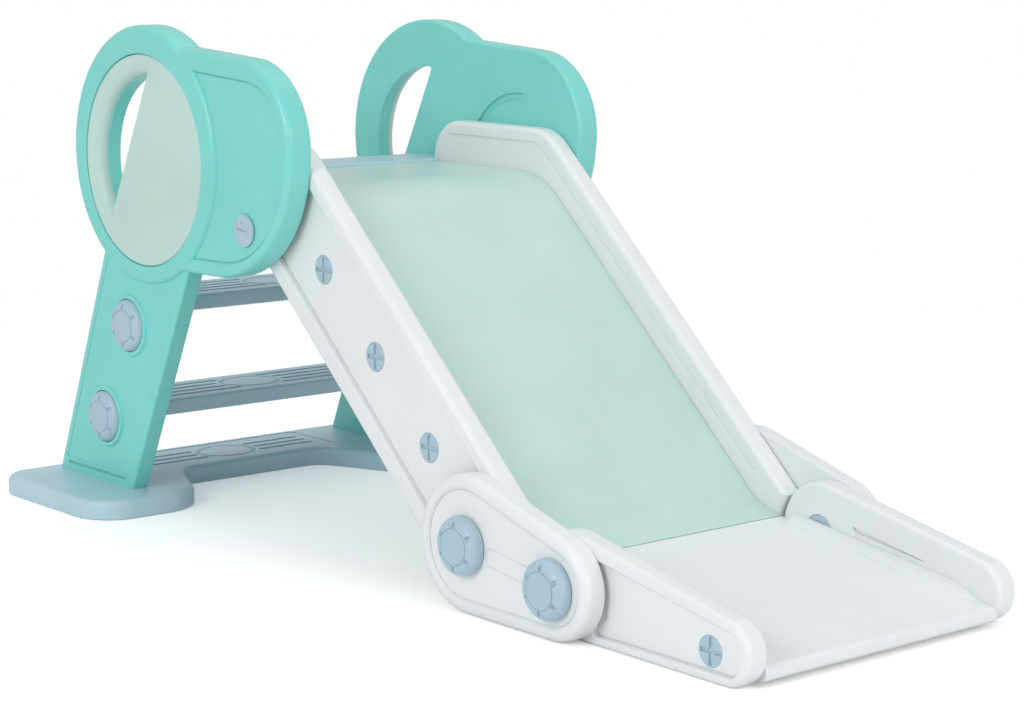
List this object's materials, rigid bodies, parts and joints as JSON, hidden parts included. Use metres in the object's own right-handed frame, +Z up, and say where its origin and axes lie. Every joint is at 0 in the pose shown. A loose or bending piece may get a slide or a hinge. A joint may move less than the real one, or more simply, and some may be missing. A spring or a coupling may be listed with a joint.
{
  "type": "toddler slide",
  "caption": "Free-standing toddler slide with ladder steps between round-headed side panels, a railed chute and a folding run-out on knobbed link plates.",
  "frame": {"origin": "floor level under the middle of the bounding box", "axes": "+X from the ladder down to the run-out's toe, +Y to the left of a child facing down the slide, +Z up"},
  "size_m": [1.4248, 0.716, 0.6902],
  "materials": {
    "mint": "satin moulded",
    "sage": "satin moulded",
    "bed_green": "smooth sliding face",
    "white": "satin moulded",
    "blue_grey": "satin moulded",
    "knob_blue": "satin moulded",
    "screw_lavender": "satin moulded"
  },
  "bodies": {
    "frame": {"base_frame": "blue_grey", "deck": "blue_grey", "slide_bed": "bed_green", "step_middle": "blue_grey", "step_upper": "blue_grey", "side_panel_left": "mint", "side_panel_right": "mint", "head_disc_left": "sage", "head_disc_right": "sage", "guard_screw_left": "screw_lavender", "guard_screw_right": "screw_lavender", "chute_rail_left": "white", "chute_rail_right": "white", "link_nut_upper_left": "knob_blue", "link_nut_upper_right": "knob_blue", "rail_screw_1_left": "knob_blue", "rail_screw_2_left": "knob_blue", "rail_screw_3_left": "knob_blue", "rail_screw_1_right": "knob_blue", "rail_screw_2_right": "knob_blue", "rail_screw_3_right": "knob_blue"},
    "links": {"link_plate_left": "white", "link_plate_right": "white"},
    "runout": {"runout_bed": "white", "runout_rail_left": "white", "runout_rail_right": "white", "runout_screw_left": "knob_blue", "runout_screw_right": "knob_blue", "link_nut_lower_left": "knob_blue", "link_nut_lower_right": "knob_blue"},
    "leg_knob_middle_left": {"leg_knob_middle_left": "screw_lavender"},
    "leg_knob_upper_left": {"leg_knob_upper_left": "screw_lavender"},
    "link_knob_upper_left": {"link_knob_upper_left": "knob_blue"},
    "link_knob_lower_left": {"link_knob_lower_left": "knob_blue"},
    "leg_knob_middle_right": {"leg_knob_middle_right": "screw_lavender"},
    "leg_knob_upper_right": {"leg_knob_upper_right": "screw_lavender"},
    "link_knob_upper_right": {"link_knob_upper_right": "knob_blue"},
    "link_knob_lower_right": {"link_knob_lower_right": "knob_blue"}
  },
  "joints": [
    {"name": "link_fold", "type": "hinge", "parent": "frame", "child": "links", "pos_m": [0.256, 0, 0.087], "axis": [0, -1, 0], "range_deg": [-120, 0]},
    {"name": "runout_fold", "type": "hinge", "parent": "links", "child": "runout", "pos_m": [0.415, 0, 0.0645], "axis": [0, -1, 0], "range_deg": [-95, 80]},
    {"name": "leg_knob_middle_left_turn", "type": "hinge", "parent": "frame", "child": "leg_knob_middle_left", "pos_m": [-0.5535, 0.27, 0.126], "axis": [0, -1, 0], "range_deg": [0, 90]},
    {"name": "leg_knob_upper_left_turn", "type": "hinge", "parent": "frame", "child": "leg_knob_upper_left", "pos_m": [-0.4855, 0.27, 0.267], "axis": [0, -1, 0], "range_deg": [0, 90]},
    {"name": "link_knob_upper_left_turn", "type": "hinge", "parent": "frame", "child": "link_knob_upper_left", "pos_m": [0.256, 0.27, 0.087], "axis": [0, -1, 0], "range_deg": [0, 90]},
    {"name": "link_knob_lower_left_turn", "type": "hinge", "parent": "links", "child": "link_knob_lower_left", "pos_m": [0.415, 0.27, 0.0645], "axis": [0, -1, 0], "range_deg": [0, 90]},
    {"name": "leg_knob_middle_right_turn", "type": "hinge", "parent": "frame", "child": "leg_knob_middle_right", "pos_m": [-0.5535, -0.27, 0.126], "axis": [0, 1, 0], "range_deg": [0, 90]},
    {"name": "leg_knob_upper_right_turn", "type": "hinge", "parent": "frame", "child": "leg_knob_upper_right", "pos_m": [-0.4855, -0.27, 0.267], "axis": [0, 1, 0], "range_deg": [0, 90]},
    {"name": "link_knob_upper_right_turn", "type": "hinge", "parent": "frame", "child": "link_knob_upper_right", "pos_m": [0.256, -0.27, 0.087], "axis": [0, 1, 0], "range_deg": [0, 90]},
    {"name": "link_knob_lower_right_turn", "type": "hinge", "parent": "links", "child": "link_knob_lower_right", "pos_m": [0.415, -0.27, 0.0645], "axis": [0, 1, 0], "range_deg": [0, 90]}
  ]
}
